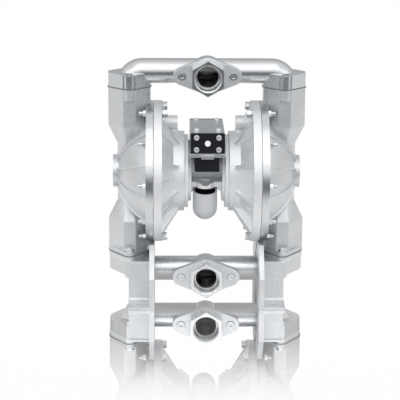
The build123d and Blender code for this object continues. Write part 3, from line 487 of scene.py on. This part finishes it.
def makePortThread(mouth, rootRadius, crestRadius, pitch, width, turns, steps):
    bpy.ops.object.select_all(action="DESELECT")
    place = (0, -mouth + pitch / 2, shaftHeight + portHeight)
    bpy.ops.mesh.primitive_circle_add(vertices=4, radius=1, rotation=(0, math.pi / 2, 0), location=place)
    thread = bpy.context.object
    bpy.ops.object.transform_apply(location=False, rotation=True, scale=False)
    bpy.ops.object.mode_set(mode="EDIT")
    bpy.ops.mesh.select_all(action="SELECT")
    bpy.ops.transform.resize(value=(1, pitch / 2 * width, rootRadius - crestRadius))
    bpy.ops.transform.translate(value=(0, 0, rootRadius))
    bpy.ops.object.mode_set(mode="OBJECT")
    screw = thread.modifiers.new("thread", "SCREW")
    screw.axis = "Y"
    screw.screw_offset = pitch
    screw.iterations = turns
    screw.steps = screw.render_steps = steps
    bpy.ops.object.modifier_apply(modifier="thread")
    bpy.ops.object.mode_set(mode="EDIT")
    bpy.ops.mesh.select_all(action="DESELECT")
    bpy.ops.mesh.select_non_manifold()
    bpy.ops.mesh.fill()                          # closes both ends of the ridge
    bpy.ops.mesh.select_all(action="SELECT")
    bpy.ops.mesh.normals_make_consistent(inside=False)
    bpy.ops.object.mode_set(mode="OBJECT")
    return thread


thread = makePortThread(**portThread)
for name, height in (("dischargeThread", portHeight), ("inletThread", -portHeight)):
    copy = copyTo(thread, name, (0, thread.location.y, shaftHeight + height))
    finishPiece(copy, "brightSteel", 40)
bpy.data.objects.remove(thread)
print("port threads modelled")


# Camera: place and turn found from the photograph's own perspective
cameraView = {
    "place": (-0.103, -3.9263, 1.2347),
    "down": 14.40, "right": 1.298, "roll": 0.414,      # degrees
    "lens": 153.93, "sensor": 36, "farthest": 50,
}


def makeCamera(place, down, right, roll, lens, sensor, farthest):
    down, right, roll = (math.radians(angle) for angle in (down, right, roll))
    side = Vector((math.cos(right), -math.sin(right), 0))
    level = Vector((math.sin(right), math.cos(right), 0))
    forward = level * math.cos(down) - Vector((0, 0, math.sin(down)))
    up = side.cross(forward)
    turned = side * math.cos(roll) + up * math.sin(roll)
    upright = up * math.cos(roll) - side * math.sin(roll)
    bpy.ops.object.camera_add(location=place)
    camera = bpy.context.object
    camera.matrix_world = Matrix((turned, upright, -forward)).transposed().to_4x4()
    camera.location = place
    camera.data.sensor_width = sensor
    camera.data.lens = lens
    camera.data.clip_end = farthest
    scene.camera = camera


makeCamera(**cameraView)


# Studio floor: a white table that mirrors the pump and fades away from it, then a darker room; in the
# metal's reflections it carries a painted shadow under the pump.
# Each pair of numbers is where a change begins and ends, in metres.
floorLook = {
    "size": 12, "matt": 0.88, "glow": 0.88,
    "mirror": 0.95, "mirrorFade": (-0.80, -0.30),
    "table": 0.95, "room": 0.05, "tableEdge": (-0.95, -0.42),
    "shade": 0.5, "shadeTone": 0.05,                   # painted shadow under the pump, seen only in reflections on the metal
    "shadeFront": (-0.22, 0.02), "shadeBack": (0.12, 0.35), "shadeSide": (0.14, 0.34),
}


def makeFloor(size, matt, glow, mirror, mirrorFade, table, room, tableEdge, shade, shadeTone,
              shadeFront, shadeBack, shadeSide):
    look = Look("studioFloor")
    x, y, z = look.axes()
    seen, glossy, through = look.node("ShaderNodeLightPath", None, None,
                                      ("Is Camera Ray", "Is Glossy Ray", "Is Transmission Ray"))
    fade = y.between(*mirrorFade) * mirror
    # painted shadow of the pump on the table, in the colour that reflections see
    shadowUnderPump = y.between(*shadeFront) * (1 - y.between(*shadeBack)) * (1 - x.size().between(*shadeSide))
    tableAndShadow = look.mixColour(shadowUnderPump * shade, grey(table), grey(shadeTone))
    reflected = look.mixColour(y.between(*tableEdge), grey(room, 0.008), tableAndShadow)
    shown = look.mixColour(seen, reflected, grey(1.0))
    dull = look.node("ShaderNodeBsdfDiffuse", None, {"Color": grey(matt)})
    shining = look.node("ShaderNodeEmission", None, {"Color": shown, "Strength": 1.0})
    lit = look.node("ShaderNodeMixShader", None,
                    {0: (seen + glossy + through) * glow, 1: dull, 2: shining})
    mirrorFace = look.node("ShaderNodeBsdfGlossy", None, {"Color": grey(1.0), "Roughness": 0.0})
    both = look.node("ShaderNodeMixShader", None, {0: fade * seen, 1: lit, 2: mirrorFace})
    look.node("ShaderNodeOutputMaterial", None, {"Surface": both}, None)
    bpy.ops.mesh.primitive_plane_add(size=size, location=(0, 0, 0))
    floor = bpy.context.object
    floor.name = "studioFloor"
    floor.data.materials.append(look.holder)


# Surroundings: white to the camera; to the metal, bright overhead and at the sides, greyer level with it.
# Each pair of numbers is where a change begins and ends, on a direction one long.
roomLook = {
    "overhead": 0.85, "sides": 0.60, "front": 0.38, "back": 0.50, "cool": 0.01, "strength": 1.0,
    "endFade": (0.25, 0.90), "backFade": (-0.2, 0.2), "overheadFade": (0.15, 0.85),
    "upFade": (-0.02, 0.50),
}


def makeSurroundings(overhead, sides, front, back, cool, strength, endFade, backFade,
                     overheadFade, upFade):
    world = bpy.data.worlds.new("studio")
    scene.world = world
    look = Look("studio", world)
    direction = look.node("ShaderNodeTexCoord", None, None, "Generated")
    x, y, z = look.axes(direction)
    ends = (y * y / (1.001 - z * z)).between(*endFade)
    low = look.mixColour(y.between(*backFade), grey(front, cool), grey(back, cool))
    level = look.mixColour(ends, grey(sides), low)
    above = look.mixColour(y.between(*overheadFade), grey(overhead), grey(back, cool))
    shade = look.mixColour(z.between(*upFade), level, above)
    seen, mirrored = look.node("ShaderNodeLightPath", None, None, ("Is Camera Ray", "Is Singular Ray"))
    shown = (seen + mirrored).lower(1.0)         # to the camera, and in the floor's mirror
    colour = look.mixColour(shown, shade, grey(1.0))
    light = look.node("ShaderNodeBackground", None, {"Color": colour, "Strength": strength})
    look.node("ShaderNodeOutputWorld", None, {"Surface": light}, None)


lampAim = (0, 0, 0.3)
lamps = [
    {"place": (-0.3, -3.0, 1.9), "size": 3.0, "power": 14},
    {"place": (0.0, -1.5, 2.4), "size": 2.6, "power": 13},
    {"place": (-2.0, -1.6, 1.3), "size": 1.8, "power": 7},
    {"place": (2.0, -1.6, 1.3), "size": 1.8, "power": 7},
]


def makeLamp(place, size, power):
    bpy.ops.object.light_add(type="AREA", location=place)
    lamp = bpy.context.object
    lamp.data.size = size
    lamp.data.energy = power
    lamp.rotation_euler = (Vector(lampAim) - Vector(place)).to_track_quat("-Z", "Y").to_euler()


makeFloor(**floorLook)
makeSurroundings(**roomLook)
for lamp in lamps:
    makeLamp(**lamp)
print("camera, floor and lamps placed")
